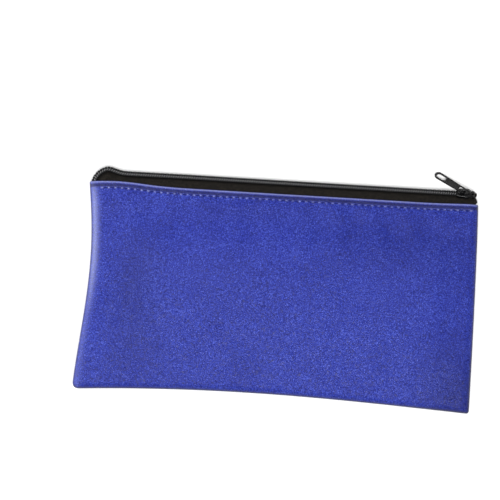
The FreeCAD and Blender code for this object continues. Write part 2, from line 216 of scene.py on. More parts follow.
# Where the columns and rows of a panel's grid are: close together round its rims
def gridPlaces(length, pitch, roundEnds, extra=()):
    r = bagShape["rollRadius"]
    rim = [r * (1 - math.cos(math.radians(angle))) for angle in range(0, 90, 15)]
    low, high = rim + [r], [length - d for d in reversed(rim)]
    start, stop = r, (length - r if roundEnds else length)
    count = max(2, round((stop - start) / pitch))
    middle = [start + (stop - start) * i / count for i in range(1, count + (0 if roundEnds else 1))]
    places = low + middle + ([length - r] + high if roundEnds else [])
    if extra:
        places = [p for p in places if all(abs(p - e) > 0.3 for e in extra)] + list(extra)
    return np.array(sorted(places)) / length


def surface(heights, aPlaces, bPlaces):
    a, b = np.meshgrid(aPlaces, bPlaces)
    x, y = planPoint(a, b)
    return np.stack([x, y, heights(a, b, x, y)], axis=-1)


# Materials. Colours are given as screen values from 0 to 255.
def toLinear(values):
    linear = [v / 255 / 12.92 if v <= 10 else ((v / 255 + 0.055) / 1.055) ** 2.4 for v in values]
    return (*linear, 1.0)


class Shader:
    def __init__(self, name):
        self.material = bpy.data.materials.new(name)
        self.material.use_nodes = True
        self.nodes, self.links = self.material.node_tree.nodes, self.material.node_tree.links
        self.surface = self.nodes["Principled BSDF"]
        self.place = self.add("ShaderNodeTexCoord").outputs["Object"]

    def add(self, kind, **values):
        node = self.nodes.new(kind)
        for key, value in values.items():
            if hasattr(node, key):
                setattr(node, key, value)
            else:
                node.inputs[key.replace("_", " ")].default_value = value
        return node

    def link(self, source, node, socket):
        self.links.new(source, node.inputs[socket])
        return node

    def texture(self, kind, scale, place=None, **values):
        node = self.add(kind, Scale=scale, **values)
        self.link(place or self.place, node, "Vector")
        return node

    def ramp(self, source, stops):
        node = self.add("ShaderNodeValToRGB")
        ends = node.color_ramp.elements
        ends[0].position, ends[0].color = stops[0]
        ends[1].position, ends[1].color = stops[-1]
        for position, colour in stops[1:-1]:
            ends.new(position).color = colour
        self.link(source, node, "Fac")
        return node.outputs["Color"]

    def maths(self, operation, first, second):
        node = self.add("ShaderNodeMath", operation=operation)
        for index, value in enumerate((first, second)):
            if isinstance(value, (int, float)):
                node.inputs[index].default_value = value
            else:
                self.links.new(value, node.inputs[index])
        return node.outputs[0]

    def bump(self, source, strength, distance, under=None):
        node = self.add("ShaderNodeBump", Strength=strength, Distance=distance)
        self.link(source, node, "Height")
        if under:
            self.link(under, node, "Normal")
        return node.outputs["Normal"]

    def finish(self, colour=None, normal=None, roughness=None, **values):
        for key, value in (("Base Color", colour), ("Normal", normal), ("Roughness", roughness)):
            if value is None:
                continue
            if isinstance(value, (int, float, tuple)):
                self.surface.inputs[key].default_value = value
            else:
                self.link(value, self.surface, key)
        for key, value in values.items():
            self.surface.inputs[key.replace("_", " ")].default_value = value
        return self.material


def grey(level):
    return (level, level, level, 1.0)


vinylLook = {
    "deep": (5, 15, 98),   # between the grains
    "middle": (22, 42, 156),
    "light": (92, 111, 214),
    # colour of the painted shade
    "paintedShade": (0, 4, 70),
    # colour of the painted highlights
    "paintedHighlight": (214, 222, 255),
    "pebbles": 1050,       # grains per metre
    "pebbleDepth": 0.00016,
    "mottle": 960,
    "roughness": 0.37,
    "relief": 0.95,
    "gloss": 0.3,
}
backingLook = {"dark": (34, 36, 48), "light": (70, 73, 92), "threads": 420.0}
tapeLook = {"dark": (9, 9, 9), "middle": (22, 20, 18), "light": (46, 41, 35), "ribs": 640.0, "picks": 700.0}
# the wire's pale colour is a painted highlight for the front loops' crests
wireLook = {"dark": (2, 2, 3), "light": (12, 12, 13), "paintedCrestHighlight": (114, 114, 116), "roughness": 0.42}
enamelLook = {"dark": (4, 4, 5), "light": (18, 18, 20), "shiny": 0.18, "rubbed": 0.3}
threadColours = {
    "blue": ((6, 9, 52), (22, 30, 104)),
    "black": ((12, 12, 14), (38, 38, 40)),
}


def blueLeatherette():
    s = Shader("blueLeatherette")
    cloudy = s.texture("ShaderNodeTexNoise", 30.0, Detail=3.0, Roughness=0.6)
    warp = s.texture("ShaderNodeTexNoise", 420.0, Detail=1.0)
    moved = s.add("ShaderNodeMix", data_type="VECTOR")
    moved.inputs["Factor"].default_value = 0.0009
    s.links.new(s.place, moved.inputs[4])
    s.links.new(warp.outputs["Color"], moved.inputs[5])
    crease = s.texture("ShaderNodeTexVoronoi", vinylLook["pebbles"], moved.outputs[1],
                       feature="DISTANCE_TO_EDGE")
    pebble = s.ramp(crease.outputs["Distance"], [(0.0, grey(0.0)), (0.12, grey(0.6)), (0.4, grey(1.0))])
    speckle = s.texture("ShaderNodeTexNoise", vinylLook["mottle"], Detail=3.0, Roughness=0.75)
    tone = s.maths("ADD", s.maths("MULTIPLY", speckle.outputs["Fac"], 0.66),
                   s.maths("MULTIPLY", pebble, 0.15))
    tone = s.maths("ADD", tone, s.maths("MULTIPLY", cloudy.outputs["Fac"], 0.08))
    colour = s.ramp(tone, [(0.36, toLinear(vinylLook["deep"])), (0.49, toLinear(vinylLook["middle"])),
                           (0.64, toLinear(vinylLook["light"]))])
    # painted highlights, mixed in where the panels mark them
    pale = s.add("ShaderNodeMix", data_type="RGBA")
    paintedHighlight = s.add("ShaderNodeAttribute", attribute_name="paintedHighlight")
    s.links.new(paintedHighlight.outputs["Fac"], pale.inputs["Factor"])
    s.links.new(colour, pale.inputs[6])
    pale.inputs[7].default_value = toLinear(vinylLook["paintedHighlight"])
    # painted shade, mixed in where the panels mark it
    dim = s.add("ShaderNodeMix", data_type="RGBA")
    paintedShade = s.add("ShaderNodeAttribute", attribute_name="paintedShade")
    s.links.new(paintedShade.outputs["Fac"], dim.inputs["Factor"])
    s.links.new(pale.outputs[2], dim.inputs[6])
    dim.inputs[7].default_value = toLinear(vinylLook["paintedShade"])
    relief = s.maths("ADD", pebble, s.maths("MULTIPLY", speckle.outputs["Fac"], 0.6))
    normal = s.bump(relief, vinylLook["relief"], vinylLook["pebbleDepth"])
    normal = s.bump(cloudy.outputs["Fac"], 0.15, 0.0012, under=normal)
    shine = s.ramp(speckle.outputs["Fac"], [(0.35, grey(vinylLook["roughness"] - 0.1)),
                                            (0.65, grey(vinylLook["roughness"] + 0.12))])
    return s.finish(dim.outputs[2], normal, shine, Specular_IOR_Level=vinylLook["gloss"])


def wovenBacking():
    s = Shader("wovenBacking")
    pitch = backingLook["threads"]
    weft = s.texture("ShaderNodeTexWave", pitch, wave_type="BANDS", bands_direction="X", Distortion=0.4)
    warp = s.texture("ShaderNodeTexWave", pitch, wave_type="BANDS", bands_direction="Y", Distortion=0.4)
    weave = s.maths("MULTIPLY", weft.outputs["Fac"], warp.outputs["Fac"])
    colour = s.ramp(weave, [(0.0, toLinear(backingLook["dark"])), (1.0, toLinear(backingLook["light"]))])
    return s.finish(colour, s.bump(weave, 0.5, 0.00015), 0.9, Specular_IOR_Level=0.2)


def blackTapeCloth():
    s = Shader("blackTapeCloth")
    ribs = s.texture("ShaderNodeTexWave", tapeLook["ribs"], wave_type="BANDS", bands_direction="Y",
                     Distortion=1.0, Detail=2.0)
    picks = s.texture("ShaderNodeTexWave", tapeLook["picks"], wave_type="BANDS", bands_direction="X",
                      Distortion=1.0)
    fuzz = s.texture("ShaderNodeTexNoise", 620.0, Detail=3.0, Roughness=0.7)
    weave = s.maths("MULTIPLY", ribs.outputs["Fac"], picks.outputs["Fac"])
    tone = s.maths("ADD", s.maths("MULTIPLY", weave, 0.4), s.maths("MULTIPLY", fuzz.outputs["Fac"], 0.8))
    colour = s.ramp(tone, [(0.3, toLinear(tapeLook["dark"])), (0.5, toLinear(tapeLook["middle"])),
                           (0.8, toLinear(tapeLook["light"]))])
    return s.finish(colour, s.bump(weave, 0.6, 0.00012), 0.9, Specular_IOR_Level=0.08, Sheen_Weight=0.04)


def blackWire():
    # black monofilament, with a painted highlight where the loops stand highest
    s = Shader("blackWire")
    streak = s.texture("ShaderNodeTexNoise", 1500.0, Detail=1.0)
    colour = s.ramp(streak.outputs["Fac"], [(0.3, toLinear(wireLook["dark"])),
                                            (0.7, toLinear(wireLook["light"]))])
    crestHighlightMix = s.add("ShaderNodeMix", data_type="RGBA")
    paintedCrestHighlight = s.add("ShaderNodeAttribute", attribute_name="paintedCrestHighlight")
    s.links.new(paintedCrestHighlight.outputs["Fac"], crestHighlightMix.inputs["Factor"])
    s.links.new(colour, crestHighlightMix.inputs[6])
    crestHighlightMix.inputs[7].default_value = toLinear(wireLook["paintedCrestHighlight"])
    return s.finish(crestHighlightMix.outputs[2], s.bump(streak.outputs["Fac"], 0.1, 0.00003), wireLook["roughness"],
                    Specular_IOR_Level=0.1)


def blackEnamel():
    s = Shader("blackEnamel")
    peel = s.texture("ShaderNodeTexNoise", 520.0, Detail=2.0)
    rub = s.texture("ShaderNodeTexNoise", 190.0, Detail=4.0, Roughness=0.7)
    colour = s.ramp(rub.outputs["Fac"], [(0.35, toLinear(enamelLook["dark"])),
                                         (0.75, toLinear(enamelLook["light"]))])
    shine = s.ramp(rub.outputs["Fac"], [(0.35, grey(enamelLook["shiny"])), (0.7, grey(enamelLook["rubbed"]))])
    return s.finish(colour, s.bump(peel.outputs["Fac"], 0.18, 0.00005), shine, Specular_IOR_Level=0.36)


def threadLook(name, dark, light):
    s = Shader(name)
    twist = s.texture("ShaderNodeTexWave", 900.0, wave_type="BANDS", bands_direction="DIAGONAL",
                      Distortion=0.5)
    colour = s.ramp(twist.outputs["Fac"], [(0.1, toLinear(dark)), (0.9, toLinear(light))])
    return s.finish(colour, s.bump(twist.outputs["Fac"], 0.7, 0.0001), 0.7, Specular_IOR_Level=0.15)


def paleFloor():
    s = Shader("paleFloor")
    cloud = s.texture("ShaderNodeTexNoise", 3.0, Detail=1.0)
    colour = s.ramp(cloud.outputs["Fac"], [(0.3, grey(0.93)), (0.7, grey(0.95))])
    return s.finish(colour, None, 0.9, Specular_IOR_Level=0.1)


vinyl, backing, tapeCloth = blueLeatherette(), wovenBacking(), blackTapeCloth()
wire, enamel = blackWire(), blackEnamel()
blueThread = threadLook("blueThread", *threadColours["blue"])
blackThread = threadLook("blackThread", *threadColours["black"])
print("materials made")


# Helpers that make meshes
def meshPiece(name, points, faces, materials, smoothShade=True):
    mesh = bpy.data.meshes.new(name)
    mesh.from_pydata([tuple(p * mm) for p in np.asarray(points, float)], [],
                     [tuple(map(int, f)) for f in faces])
    for material in materials:
        mesh.materials.append(material)
    mesh.validate()
    mesh.polygons.foreach_set("use_smooth", [smoothShade] * len(mesh.polygons))
    piece = bpy.data.objects.new(name, mesh)
    scene.collection.objects.link(piece)
    return piece


def applyAll(piece):
    graph = bpy.context.evaluated_depsgraph_get()
    mesh = bpy.data.meshes.new_from_object(piece.evaluated_get(graph))
    piece.modifiers.clear()
    piece.data = mesh


def thicken(piece, thickness, offset=-1, levels=1, innerSlot=0):
    solid = piece.modifiers.new("thickness", "SOLIDIFY")
    solid.thickness, solid.offset = thickness * mm, offset
    solid.material_offset = innerSlot
    if levels:
        rounder = piece.modifiers.new("round", "SUBSURF")
        rounder.levels = rounder.render_levels = levels
    applyAll(piece)


def quadRows(rows, columns, first=0, flip=False, closed=False):
    faces = []
    for j in range(rows - 1):
        for i in range(columns if closed else columns - 1):
            k = (i + 1) % columns
            face = [first + j * columns + i, first + j * columns + k,
                    first + (j + 1) * columns + k, first + (j + 1) * columns + i]
            faces.append(face[::-1] if flip else face)
    return faces


class TubeBundle:
    # many tubes joined in one mesh
    def __init__(self):
        self.points, self.faces = [], []

    def add(self, path, radii, sides=6, flatten=1.0, up=None):
        path = np.asarray(path, float)
        radii = np.broadcast_to(radii, len(path))
        tangents = np.gradient(path, axis=0)
        tangents /= np.linalg.norm(tangents, axis=1)[:, None] + 1e-12
        if up is None:
            up = np.array([0.1, 0.2, 1.0])
        side = np.cross(tangents, up)
        side /= np.linalg.norm(side, axis=1)[:, None] + 1e-12
        rise = np.cross(side, tangents)
        angles = np.arange(sides) * 2 * math.pi / sides
        ring = (side[:, None, :] * np.cos(angles)[None, :, None] +
                rise[:, None, :] * np.sin(angles)[None, :, None] * flatten)
        points = path[:, None, :] + ring * radii[:, None, None]
        first = sum(len(p) for p in self.points)
        self.points.append(points.reshape(-1, 3))
        self.faces += quadRows(len(path), sides, first, closed=True)
        self.faces.append([first + i for i in range(sides)][::-1])
        last = first + (len(path) - 1) * sides
        self.faces.append([last + i for i in range(sides)])

    def piece(self, name, material):
        return meshPiece(name, np.concatenate(self.points), self.faces, [material])


# Where the slider's middle is, and a step that bakes a front piece's transform into its mesh
slider = nodeBox("slider_body")
sliderX = (slider[0][0] + slider[1][0]) / 2


def followMouth(piece):
    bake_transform(piece)


# The two panels
stitchPitch = 4.7
stitchInset = 4.1
sewing = {
    "groove": 0.22,        # depth of the groove under the hem's thread
    "bridge": 0.42,        # how far the cloth stands up between two stitches
    "bridgeHalf": 0.65,
    "swell": 0.18,         # the hem's edge side swells between the stitches and the fold
    "gap": 0.75,           # from a needle hole's middle to the visible thread
    "foldPaintedHighlight": 0.26,      # how bright the painted highlights along the hem's fold and on the left rim are
    "rimPaintedHighlight": 0.24,
    "seamPaintedShade": 0.97,     # how dark the painted shade along the seams is
    "bandPaintedShade": 0.78,     # and the painted shade on the band between the hem's fold and its stitches
    # painted shade in soft spots: share along, share up, half length, half height and depth of the shade
    "paintedShadeSpots": [(0.12, 0.48, 18, 44, 0.3), (0.97, 0.08, 26, 32, 0.42), (0.82, 0.8, 60, 24, 0.22),
                (0.45, 0.9, 60, 9, 0.12)],
    "cornerClip": 11.0,    # the allowances are cut away this near a corner
}


def splineWeights(places, count):
    # cubic spline weights that carry values on an even row of knots to these places
    u = np.clip(places, 0, 1) * (count - 1)
    i = np.minimum(u.astype(int), count - 2)
    t = u - i
    table = np.zeros((len(places), count))
    parts = ((1 - t) ** 3 / 6, (3 * t ** 3 - 6 * t ** 2 + 4) / 6,
             (-3 * t ** 3 + 3 * t ** 2 + 3 * t + 1) / 6, t ** 3 / 6)
    for k, part in zip((-1, 0, 1, 2), parts):
        np.add.at(table, (np.arange(len(places)), np.clip(i + k, 0, count - 1)), part)
    return table


settling = {
    "columns": 64,
    "rows": 36,
    "scale": 10.0,         # the cloth is worked out this many times larger than life
    "spare": 0.010,        # the cloth is this much longer than its shape
    "pressure": 1.2,
    "bending": 7.0,
    "stiffness": 20.0,
    "shear": 10.0,
    "pinned": 6.0,         # width of the rim that doesn't move
    "frames": 20,
    "most": 1.3,           # no place moves further than this
    "share": 0.8,          # of the cloth's own movement that is kept
}


def clothSettle(heights, places):
    # lets the air-filled front find its own soft dents, and gives how far each place moves up
    columns, rows = settling["columns"], settling["rows"]
    acrossKnots, alongKnots = np.linspace(0, 1, columns), np.linspace(0, 1, rows)
    start = surface(heights, acrossKnots, alongKnots)
    big = settling["scale"]
    cloth = meshPiece("settling", start.reshape(-1, 3) * big, quadRows(rows, columns), [])
    pins = cloth.vertex_groups.new(name="pinned")
    a, b = np.meshgrid(acrossKnots, alongKnots)
    rim = np.minimum(np.minimum(a, 1 - a) * width, np.minimum(b, 1 - b) * height).reshape(-1)
    for index, distance in enumerate(rim):
        hold = float(np.clip(1.5 - distance / settling["pinned"], 0, 1))
        pins.add([index], hold, "REPLACE")
    maker = cloth.modifiers.new("cloth", "CLOTH")
    put = maker.settings
    put.quality, put.mass, put.vertex_group_mass = 6, 0.25, "pinned"
    put.tension_stiffness = put.compression_stiffness = settling["stiffness"]
    put.shear_stiffness, put.bending_stiffness = settling["shear"], settling["bending"]
    put.shrink_min = -settling["spare"]
    put.use_pressure, put.uniform_pressure_force = True, settling["pressure"]
    put.effector_weights.gravity = 0
    maker.point_cache.frame_start, maker.point_cache.frame_end = 1, settling["frames"]
    for moment in range(1, settling["frames"] + 1):
        scene.frame_set(moment)
    graph = bpy.context.evaluated_depsgraph_get()
    ended = cloth.evaluated_get(graph).to_mesh()
    flatList = np.zeros(len(ended.vertices) * 3)
    ended.vertices.foreach_get("co", flatList)
    rise = (flatList.reshape(rows, columns, 3)[..., 2] / mm / big) - start[..., 2]
    bpy.data.objects.remove(cloth)
    scene.frame_set(1)
    rise -= smooth(rim.reshape(rows, columns) / 25) * np.median(rise)
    rise = settling["most"] * np.tanh(rise * settling["share"] / settling["most"])
    print("cloth settled, moves from", round(float(rise.min()), 2), "to", round(float(rise.max()), 2), "mm")
    aPlaces, bPlaces = places
    return splineWeights(bPlaces, rows) @ rise @ splineWeights(aPlaces, columns).T


def normalsOf(grid):
    across, along = np.gradient(grid, axis=1), np.gradient(grid, axis=0)
    normal = np.cross(across, along)
    return normal / (np.linalg.norm(normal, axis=-1)[..., None] + 1e-12)


def hemStitching(a, b):
    # distances from the hem's stitch line, and along it from the nearest needle hole
    along = (a * width) / stitchPitch
    hole = np.abs(along - np.round(along)) * stitchPitch
    fromLine = (1 - b) * height - stitchInset
    inside = smooth((a * width - 4) / 3) * smooth(((1 - a) * width - 2) / 3)
    return fromLine, hole, inside


def sewnGroove(grid, a, b, up):
    # the thread presses a groove, and the cloth stands up between one stitch and the next
    fromLine, hole, inside = hemStitching(a, b)
    groove = sewing["groove"] * np.exp(-(fromLine / 0.8) ** 2)
    bridge = sewing["bridge"] * np.exp(-(fromLine / 0.7) ** 2 - (hole / sewing["bridgeHalf"]) ** 2)
    swell = sewing["swell"] * np.exp(-((fromLine + 2.2) / 1.3) ** 2)
    return grid + normalsOf(grid) * ((swell + bridge - groove) * inside * up)[..., None]


def paintedHighlightMarks(a, b):
    # painted highlights: pale dots on the cloth between stitches, and pale lines along the hem's fold and on
    # the left rim
    fromLine, hole, inside = hemStitching(a, b)
    bridges = np.exp(-(fromLine / 0.45) ** 2 - (hole / 0.46) ** 2) * inside
    bridges *= 0.8 + 0.2 * np.sin(2.4 * np.round(a * width / stitchPitch))
    fold = sewing["foldPaintedHighlight"] * np.exp(-((1 - b) * height / 0.6) ** 2)
    fromRim = a * width - 2.4
    rim = sewing["rimPaintedHighlight"] * np.exp(-(fromRim / np.where(fromRim < 0, 1.1, 3.2)) ** 2)
    rim *= 0.25 + 0.75 * smooth((b - 0.3) / 0.35) * smooth((1.08 - b) / 0.2)
    return np.maximum(bridges, np.maximum(fold, rim))


def paintedShadeMarks(a, b):
    # painted shade: dark along the seams, on the band above the stitches, and in soft spots
    fromLeft, fromRight, fromFold = a * width, (1 - a) * width, (1 - b) * height
    seams = np.maximum(np.exp(-(fromRight / 1.3) ** 2), np.exp(-(b * height / 1.3) ** 2))
    seams = np.maximum(seams, np.exp(-(fromLeft / 0.8) ** 2))
    band = sewing["bandPaintedShade"] * smooth((fromFold - 0.9) / 0.5) * smooth((stitchInset - 0.5 - fromFold) / 0.5)
    soft = 0.0
    for x, y, reach, drop, depth in sewing["paintedShadeSpots"]:
        soft = soft + depth * np.exp(-((a - x) * width / reach) ** 2 - ((b - y) * height / drop) ** 2)
    return np.clip(sewing["seamPaintedShade"] * seams + band + soft, 0, 1)


def panelPiece(name, heights, up, settled):
    aPlaces = gridPlaces(width, stitchPitch / 4, True)
    lines = [height - d for d in (0.0, 0.7, 1.5, 2.4, 3.1, 3.6, stitchInset, 4.6, 5.1, 5.8, 6.8, 8.0)]
    bPlaces = gridPlaces(height, 2.4, False, lines)
    a, b = np.meshgrid(aPlaces, bPlaces)
    grid = surface(heights, aPlaces, bPlaces)
    if settled:
        grid[..., 2] += clothSettle(heights, (aPlaces, bPlaces))
    grid = sewnGroove(grid, a, b, up)
    normal = normalsOf(grid) * up
    rows, columns = a.shape
    points = [grid.reshape(-1, 3)]
    faces = quadRows(rows, columns, flip=up < 0)
    # the hem: round the fold, and back against the inside
    turn = bagShape["turn"]
    edge, edgeNormal = grid[-1], normal[-1]
    forward = grid[-1] - grid[-2]
    forward -= edgeNormal * (forward * edgeNormal).sum(-1)[:, None]
    forward /= np.linalg.norm(forward, axis=-1)[:, None]
    previous = list(range((rows - 1) * columns, rows * columns))
    strips = [edge - edgeNormal * turn * (1 - math.cos(t)) + forward * turn * math.sin(t)
              for t in (math.pi * k / 6 for k in range(1, 7))]
    back = [j for j in range(rows - 2, 0, -1) if (1 - bPlaces[j]) * height < bagShape["hemDepth"]]
    strips += [grid[j] - normal[j] * 2 * turn for j in back[1::2]]
    total = rows * columns
    for strip in strips:
        points.append(strip)
        current = list(range(total, total + columns))
        for i in range(columns - 1):
            face = [previous[i], previous[i + 1], current[i + 1], current[i]]
            faces.append(face if up > 0 else face[::-1])
        previous, total = current, total + columns
    # the allowances: turned inwards at the sides and the bottom
    ring = [(j, 0) for j in range(rows - 1, 0, -1)] + [(0, i) for i in range(columns)]
    ring += [(j, columns - 1) for j in range(1, rows)]
    rim = np.array([grid[j, i] for j, i in ring])
    tangent = np.gradient(rim, axis=0)
    inward = np.stack([-tangent[:, 1], tangent[:, 0], np.zeros(len(rim))], axis=-1)
    inward /= np.linalg.norm(inward, axis=-1)[:, None] + 1e-12
    previous = [j * columns + i for j, i in ring]
    corners = [np.array([*planPoint(np.array(i), np.array(0.0)), 0.0]) for i in (0.0, 1.0)]
    fromCorner = np.min([np.linalg.norm((rim - c)[:, :2], axis=1) for c in corners], axis=0)
    lap = bagShape["allowance"] * smooth((fromCorner - 2) / sewing["cornerClip"])
    for t, share in [(30, 0), (60, 0), (90, 0), (90, 0.4), (90, 1.0)]:
        angle = math.radians(t)
        strip = rim + inward * (turn * (1 - math.cos(angle)) + lap * share)[:, None]
        strip[:, 2] = rim[:, 2] - up * (turn - 0.03) * math.sin(angle)
        points.append(strip)
        current = list(range(total, total + len(ring)))
        for i in range(len(ring) - 1):
            face = [previous[i + 1], previous[i], current[i], current[i + 1]]
            faces.append(face if up > 0 else face[::-1])
        previous, total = current, total + len(ring)
    piece = meshPiece(name, np.concatenate(points), faces, [vinyl, backing])
    # painted highlights on the panel's face
    marks = np.zeros(len(piece.data.vertices), np.float32)
    marks[:rows * columns] = paintedHighlightMarks(a, b).reshape(-1)
    # the first strip of the hem's fold gets half the painted highlight
    marks[rows * columns:(rows + 1) * columns] = sewing["foldPaintedHighlight"] * 0.5
    piece.data.attributes.new("paintedHighlight", "FLOAT", "POINT").data.foreach_set("value", marks)
    # painted shade on every hem strip and turned allowance, light on the fold's first strip
    shades = np.full(len(marks), sewing["seamPaintedShade"], np.float32)
    shades[:rows * columns] = paintedShadeMarks(a, b).reshape(-1)
    shades[rows * columns:(rows + 1) * columns] = 0.1
    piece.data.attributes.new("paintedShade", "FLOAT", "POINT").data.foreach_set("value", shades)
    return piece, grid, normal, aPlaces, bPlaces


frontPanel, frontGrid, frontNormal, aPlaces, bPlaces = panelPiece("frontPanel", frontHeight, 1, True)
backPanel, backGrid, backNormal, _, _ = panelPiece("backPanel", backHeight, -1, False)
for panel in (frontPanel, backPanel):
    thicken(panel, bagShape["sheet"], innerSlot=1)
print("panels", len(frontPanel.data.vertices))
followMouth(frontPanel)
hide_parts("front_panel")
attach(backPanel, "bag")
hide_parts("back_panel")


def onPanel(grid, normal, a, b):
    # a place on a finished panel, and the way out of it
    fa = np.interp(a, aPlaces, np.arange(len(aPlaces)))
    fb = np.interp(b, bPlaces, np.arange(len(bPlaces)))
    i, j = np.minimum(fa.astype(int), len(aPlaces) - 2), np.minimum(fb.astype(int), len(bPlaces) - 2)
    s, t = (fa - i)[..., None], (fb - j)[..., None]

    def at(field):
        return mix(mix(field[j, i], field[j, i + 1], s), mix(field[j + 1, i], field[j + 1, i + 1], s), t)
    return at(grid), at(normal)


# Where the middle of the chain runs, with the zip's own directions: along it, across and out
zipTilt = math.radians(34)
chainY, chainZ = 75.4, 5.2
zipRun = [  # the chain's middle line; the left end dives into the corner
    (-133.0, 65.6, 5.9), (-133.3, 69.0, 6.3), (-132.0, 72.4, 6.4), (-129.5, 75.5, 6.1), (-124.7, 78.0, 5.8),
    (-119.2, 76.9, 5.35), (-115.0, 75.8, chainZ), (-110.0, 75.5, chainZ), (-104.0, 75.5, chainZ),
    (-73.0, 75.6, chainZ), (-30.0, 75.5, chainZ),
    (30.0, chainY, chainZ), (80.0, chainY, chainZ), (118.0, chainY, chainZ), (128.0, chainY, chainZ),
    (136.0, chainY - 0.2, chainZ), (144.0, chainY - 0.6, chainZ),
]
tuck = {"start": 136.2, "bulge": 2.2, "front": 1.3, "back": 0.85}    # the tapes' ends are folded under here


def smoothPath(points, step):
    # a centripetal spline through the points, at even steps
    p = np.array(points, float)
    p = np.vstack([2 * p[0] - p[1], p, 2 * p[-1] - p[-2]])
    dense = []
    for i in range(1, len(p) - 2):
        t = np.linspace(0, 1, 24, endpoint=False)[:, None]
        knots = [0.0]
        for k in range(3):
            knots.append(knots[-1] + np.linalg.norm(p[i + k] - p[i + k - 1]) ** 0.5)
        u = knots[1] + t * (knots[2] - knots[1])
        q = [(knots[k + 1] - u) / (knots[k + 1] - knots[k]) * p[i + k - 1] +
             (u - knots[k]) / (knots[k + 1] - knots[k]) * p[i + k] for k in range(3)]
        r = [(knots[k + 2] - u) / (knots[k + 2] - knots[k]) * q[k] +
             (u - knots[k]) / (knots[k + 2] - knots[k]) * q[k + 1] for k in range(2)]
        dense.append((knots[2] - u) / (knots[2] - knots[1]) * r[0] +
                     (u - knots[1]) / (knots[2] - knots[1]) * r[1])
    dense = np.vstack(dense + [p[-2][None]])
    lengths = np.concatenate([[0], np.cumsum(np.linalg.norm(np.diff(dense, axis=0), axis=1))])
    places = np.arange(0, lengths[-1], step)
    return np.stack([np.interp(places, lengths, dense[:, k]) for k in range(3)], axis=-1), places


zipStep = 0.25
zipLine, zipLengths = smoothPath(zipRun, zipStep)
zipTangent = np.gradient(zipLine, axis=0)
zipTangent /= np.linalg.norm(zipTangent, axis=1)[:, None]
zipSide = np.cross(np.array([0, 0, 1.0]), zipTangent)
zipSide /= np.linalg.norm(zipSide, axis=1)[:, None]
zipAcross = zipSide * math.cos(zipTilt) - np.array([0, 0, math.sin(zipTilt)])
zipOut = zipSide * math.sin(zipTilt) + np.array([0, 0, math.cos(zipTilt)])
postX = sliderX + 2.0


def partedBy(x):
    # the slider's post keeps the two halves this much further apart
    return smooth((x - postX + 1.5) / 3.0)


def zipPoint(length, u, n):
    # a place at this length along the chain, u across it and n out of it
    at = [np.stack([np.interp(length, zipLengths, field[:, k]) for k in range(3)], axis=-1)
          for field in (zipLine, zipAcross, zipOut)]
    return at[0] + at[1] * np.asarray(u)[..., None] + at[2] * np.asarray(n)[..., None]


coilLook = {
    "pitch": 1.64,
    "wire": 0.36,          # radius of the wire
    "sides": 6,
    "pointsPerTurn": 14,
    "root": 2.2,           # from the middle of the chain to the loops' closed side
    "reach": 0.62,         # how far the heads reach past the middle
    "height": 1.5,
    "backDrop": 0.4,       # the back half's loops are this much lower
    "slant": 0.62,
    "endX": 134.6,
    "cord": (1.35, 1.0, 0.34),    # the filler cord's place across, its height and its radius
    "threadAcross": 1.6,
}
chainLength = zipLengths[-1]
rightHalf = len(zipLine) // 2
chainEnd = float(np.interp(coilLook["endX"], zipLine[rightHalf:, 0], zipLengths[rightHalf:]))


def coilPiece(name, side):
    # one wound half: loops from the root, over the tape's edge, to the head between the other half's loops
    turns = int((chainEnd - 2.0) / coilLook["pitch"])
    count = coilLook["pointsPerTurn"]
    phase = np.arange(turns * count + 1) / count
    angle = phase * 2 * math.pi
    middle = (coilLook["reach"] - coilLook["root"]) / 2
    reach = (coilLook["reach"] + coilLook["root"]) / 2
    c, s = np.cos(angle), np.sin(angle)
    u = middle + reach * np.sign(c) * np.abs(c) ** 0.7
    tall = coilLook["height"] - (coilLook["backDrop"] if side > 0 else 0)
    n = tall / 2 + 0.3 + (tall / 2 - 0.1) * np.sign(s) * np.abs(s) ** 0.8
    start = 1.5 + (0 if side < 0 else coilLook["pitch"] / 2)
    u = -side * u
    length = start + phase * coilLook["pitch"] + u * coilLook["slant"]
    x = np.interp(length, zipLengths, zipLine[:, 0])
    path = zipPoint(length, u + side * partedBy(x), n)
    bundle = TubeBundle()
    bundle.add(path, coilLook["wire"], sides=coilLook["sides"])
    piece = bundle.piece(name, wire)
    # a painted highlight on the front half's crests only
    paintedCrestHighlight = smooth((s - 0.7) / 0.3) * (1.0 if side < 0 else 0.0)
    marks = np.repeat(paintedCrestHighlight, coilLook["sides"]).astype(np.float32)
    piece.data.attributes.new("paintedCrestHighlight", "FLOAT", "POINT").data.foreach_set("value", marks)
    return piece


def coilCord(name, side):
    across, out, radius = coilLook["cord"]
    length = np.arange(1.0, chainEnd, 1.0)
    x = np.interp(length, zipLengths, zipLine[:, 0])
    bundle = TubeBundle()
    u = np.full(len(length), side * across) + side * partedBy(x)
    bundle.add(zipPoint(length, u, np.full(len(length), out)), radius, sides=8)
    return bundle.piece(name, blackThread)


def coilStitches(name, side):
    bundle = TubeBundle()
    share = np.array([0.0, 0.08, 0.28, 0.5, 0.72, 0.92, 1.0])
    lift = np.array([0.9, 1.6, 1.98, 2.02, 1.98, 1.6, 0.9])
    stitch = coilLook["pitch"] * 2
    for start in np.arange(1.6, chainEnd - 2.0, stitch):
        length = start + share * stitch
        x = np.interp(length, zipLengths, zipLine[:, 0])
        u = np.full(7, side * coilLook["threadAcross"]) + side * partedBy(x)
        bundle.add(zipPoint(length, u, lift), 0.13, sides=5)
    return bundle.piece(name, blackThread)


tapeShape = {
    "thickness": 0.4,
    "gap": 0.3,            # from the middle of the chain to the tape's edge
    "out": -0.2,           # the tape's middle, out of the chain
    "underHem": (8.0, 5.0, 2.0, 0.4),    # rows of the sewn part, from the fold of the hem
}


